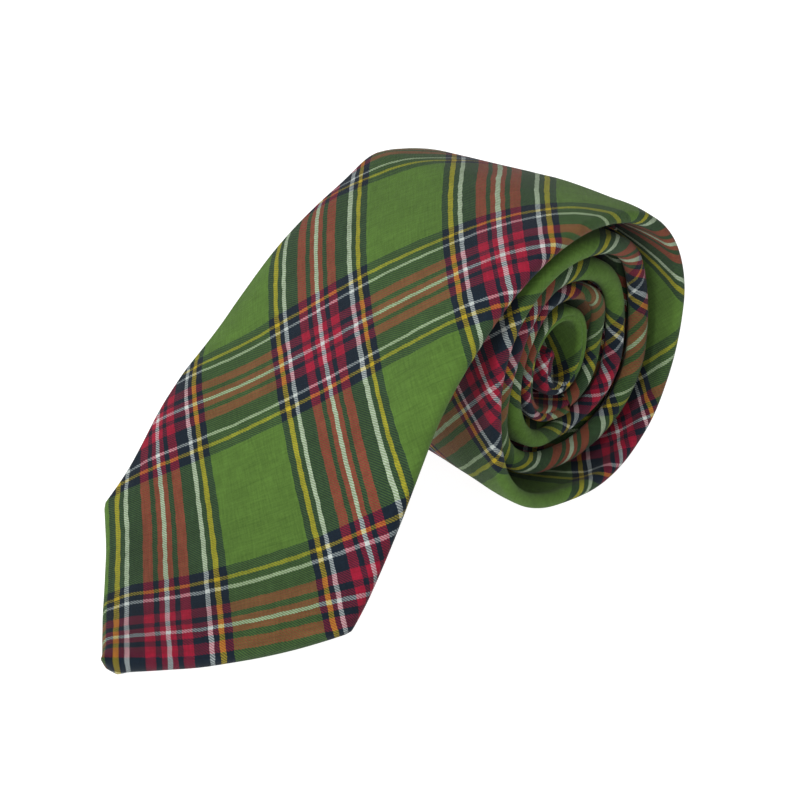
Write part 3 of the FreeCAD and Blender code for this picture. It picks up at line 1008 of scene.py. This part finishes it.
# --- lining of the point, inside the opening of the back ---
def build_lining():
    stations = blade_stations(POINT_HEM + 1.5, FLAP_MEET + 1.0, 1.5)

    def spots(index):
        half = back_opening(stations["along"][index]) + 1.2
        outer = stations["thick"][index] - 0.28
        return [(-half, outer), (-half, outer - 0.2), (half, outer - 0.2), (half, outer)]

    piece = grid_object("point_lining", closed(band_rings(stations, spots)), LINING)
    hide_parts("blade_tip_lining")
    attach(piece, "point")


# --- hand sewing ---
ANY_DIRECTION = (0.31, 0.87, 0.21)


def capsule(ends, radius, sides=6, rings=4):
    """Points and faces of one plump stitch between two places."""
    start, end = ends
    axis = end - start
    length = np.linalg.norm(axis)
    axis = axis / length
    side = np.cross(axis, ANY_DIRECTION)
    side /= np.linalg.norm(side)
    other = np.cross(axis, side)
    points = []
    for ring in range(rings + 1):
        part = ring / rings
        full = radius * (0.25 + 0.75 * math.sin(math.pi * min(max(part, 0.08), 0.92)))
        for index in range(sides):
            angle = TURN * index / sides
            spot = start + axis * length * part
            points.append(spot + full * (side * math.cos(angle) + other * math.sin(angle)))
    faces = []
    for ring in range(rings):
        for index in range(sides):
            a = ring * sides + index
            b = ring * sides + (index + 1) % sides
            faces.append((a, b, b + sides, a + sides))
    faces.append(tuple(range(sides - 1, -1, -1)))
    faces.append(tuple(rings * sides + index for index in range(sides)))
    return points, faces


def stitches(name, pairs, radius, node, attach_to):
    """Many stitches as one piece of thread."""
    points = []
    faces = []
    for pair in pairs:
        more, loops = capsule(pair, radius)
        faces.extend(tuple(len(points) + corner for corner in loop) for loop in loops)
        points.extend(more)
    mesh = bpy.data.meshes.new(name)
    mesh.from_pydata([tuple((point + SHIFT) * MM) for point in points], [], faces)
    smooth_faces(mesh, THREAD_CLOTH)
    piece = add_object(name, mesh)
    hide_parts(node)
    attach(piece, attach_to)


def back_spot(stations, index, across, lift):
    """A place on the back of the strip, or a little above it."""
    depth = stations["thick"][index] + lift
    point = stations["point"][index] + across * stations["across"][index]
    return point - depth * stations["normal"][index]


def seam_pairs(stations, side_step):
    """Slanting stitches that close the back flaps along their meeting line."""
    pairs = []
    for index in range(0, len(stations["along"]) - 1):
        across = side_step if index % 2 else -side_step
        pairs.append((back_spot(stations, index, across, -0.1),
                      back_spot(stations, index + 1, -across, -0.1)))
    return pairs


def build_stitches():
    marks = (
        ("slip_stitch_slope", FREE_LENGTH - TIP_LINE + 1.0, FREE_LENGTH - MIDDLE_LINE,
         "blade_middle_slip_stitch", "slope"),
        ("slip_stitch_crest", FREE_LENGTH - MIDDLE_LINE + 1.0, FREE_LENGTH,
         "blade_upper_slip_stitch", "crest"),
        ("slip_stitch_rolled", FREE_LENGTH + 1.0, BLADE_END - 2.0, "roll_slip_stitch", "rolled"),
    )
    for name, start, end, node, segment in marks:
        stations = blade_stations(start, end, STITCH_SPACING)
        stitches(name, seam_pairs(stations, 0.5), SLIP_RADIUS, node, segment)
    way_in, _, way_out = inner_runs()
    for name, run, node in (("slip_stitch_neck", way_in, "neck_slip_stitch"),
                            ("slip_stitch_tail", way_out, "tail_slip_stitch")):
        pairs = seam_pairs(part_of(run, THIN_SLIP_PART), 0.4)
        stitches(name, pairs, THIN_SLIP_RADIUS, node, "rolled")
    build_tacks(way_out)


def tack_pairs(stations, half, count):
    """Stitches of a bar tack, side by side across the back."""
    pairs = []
    for index in range(count):
        pairs.append((back_spot(stations, index, -half, 0.12),
                      back_spot(stations, index, half, 0.12)))
    return pairs


def build_tacks(way_out):
    blade = blade_stations(FLAP_MEET + 1.0, FLAP_MEET + 2.6, 0.32)
    stitches("bar_tack_blade", tack_pairs(blade, 4.0, 6), TACK_RADIUS, "blade_bar_tack", "point")
    last = part_of(way_out, TAIL_TACK_PART)
    stitches("bar_tack_tail", tack_pairs(last, 1.6, 3), SLIP_RADIUS, "tail_bar_tack", "rolled")


# --- keeper loop across the back of the outer turn ---
def build_keeper():
    start = FREE_LENGTH + KEEPER_START
    stations = blade_stations(start, start + KEEPER_LENGTH, 0.7)

    def spots(index):
        half = KEEPER_WIDTH / 2.0
        low = stations["thick"][index] + 0.08
        edge = min(index, len(stations["along"]) - 1 - index)
        high = low + 0.35 + 0.3 * float(smooth(edge / 3.0))
        return [(half, low), (-half, low), (-half, high), (half, high)]

    rings = closed(band_rings(stations, spots))
    corners = KEEPER_WIDTH / 2.0 * np.array([1.0, -1.0, -1.0, 1.0, 1.0])
    across = np.broadcast_to(corners, rings.shape[:2])
    along = np.linspace(0.0, KEEPER_LENGTH, rings.shape[0])[:, None] + 0.0 * across
    piece = grid_object("keeper", rings, TARTAN_INNER, np.stack([along, across], axis=2))
    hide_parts("keeper_loop")
    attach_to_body(piece, "roll")
    sew_keeper(stations)


def sew_keeper(stations):
    """A row of small stitches down each end of the keeper loop."""
    pairs = []
    for side in (-1.0, 1.0):
        across_place = side * (KEEPER_WIDTH / 2.0 + 0.35)
        for index in range(1, len(stations["along"]) - 2, 2):
            pairs.append((back_spot(stations, index, across_place - 0.5 * side, 0.5),
                          back_spot(stations, index + 1, across_place + 0.3 * side, 0.1)))
    stitches("keeper_sewing", pairs, SLIP_RADIUS, "keeper_stitches", "rolled")


def dress_kept_nodes():
    """Machine seams that stay as the CAD made them get the thread's material."""
    for name in ("blade_neck_seam", "neck_tail_seam"):
        node = frame["nodes"][name]
        node.data.materials.clear()
        node.data.materials.append(THREAD_CLOTH)


# --- studio ---
def stage():
    bpy.ops.mesh.primitive_plane_add(size=FLOOR_SIZE, location=(0.0, 0.0, 0.0))
    floor = bpy.context.object
    floor.name = "floor"
    n = Nodes("floor_white")
    n.shader.inputs["Base Color"].default_value = (FLOOR_SHADE, FLOOR_SHADE, FLOOR_SHADE, 1.0)
    n.shader.inputs["Emission Color"].default_value = (1.0, 1.0, 1.0, 1.0)
    n.shader.inputs["Emission Strength"].default_value = FLOOR_GLOW
    n.surface(rough=0.9, specular=0.1)
    floor.data.materials.append(n.material)


def area_light(name, place, size, power, target):
    data = bpy.data.lights.new(name, "AREA")
    data.shape = "DISK"
    data.size = size
    data.energy = power
    lamp = bpy.data.objects.new(name, data)
    lamp.location = place
    lamp.rotation_mode = "QUATERNION"
    lamp.rotation_quaternion = (Vector(target) - Vector(place)).to_track_quat("-Z", "Y")
    bpy.context.scene.collection.objects.link(lamp)


def light():
    world = bpy.data.worlds.new("studio")
    bpy.context.scene.world = world
    world.use_nodes = True
    background = world.node_tree.nodes["Background"]
    background.inputs["Color"].default_value = (1.0, 1.0, 1.0, 1.0)
    background.inputs["Strength"].default_value = SKY
    area_light("key", *KEY)
    area_light("fill", *FILL)
    bpy.context.scene.view_settings.view_transform = "Standard"


def camera():
    flat = math.cos(CAMERA_ELEVATION)
    forward = Vector((flat * math.sin(CAMERA_AZIMUTH), flat * math.cos(CAMERA_AZIMUTH),
                      -math.sin(CAMERA_ELEVATION)))
    target = Vector((np.array(CAMERA_TARGET) + SHIFT) * MM)
    data = bpy.data.cameras.new("camera")
    data.lens = CAMERA_LENS
    data.sensor_width = 36.0
    data.clip_start = 0.01
    eye = bpy.data.objects.new("camera", data)
    eye.location = target - forward * CAMERA_DISTANCE * MM
    eye.rotation_mode = "QUATERNION"
    eye.rotation_quaternion = forward.to_track_quat("-Z", "Y")
    bpy.context.scene.collection.objects.link(eye)
    bpy.context.scene.camera = eye


camera()
light()
stage()
build_blade()
build_interlining()
build_neck_and_tail()
build_lining()
build_stitches()
build_keeper()
dress_kept_nodes()
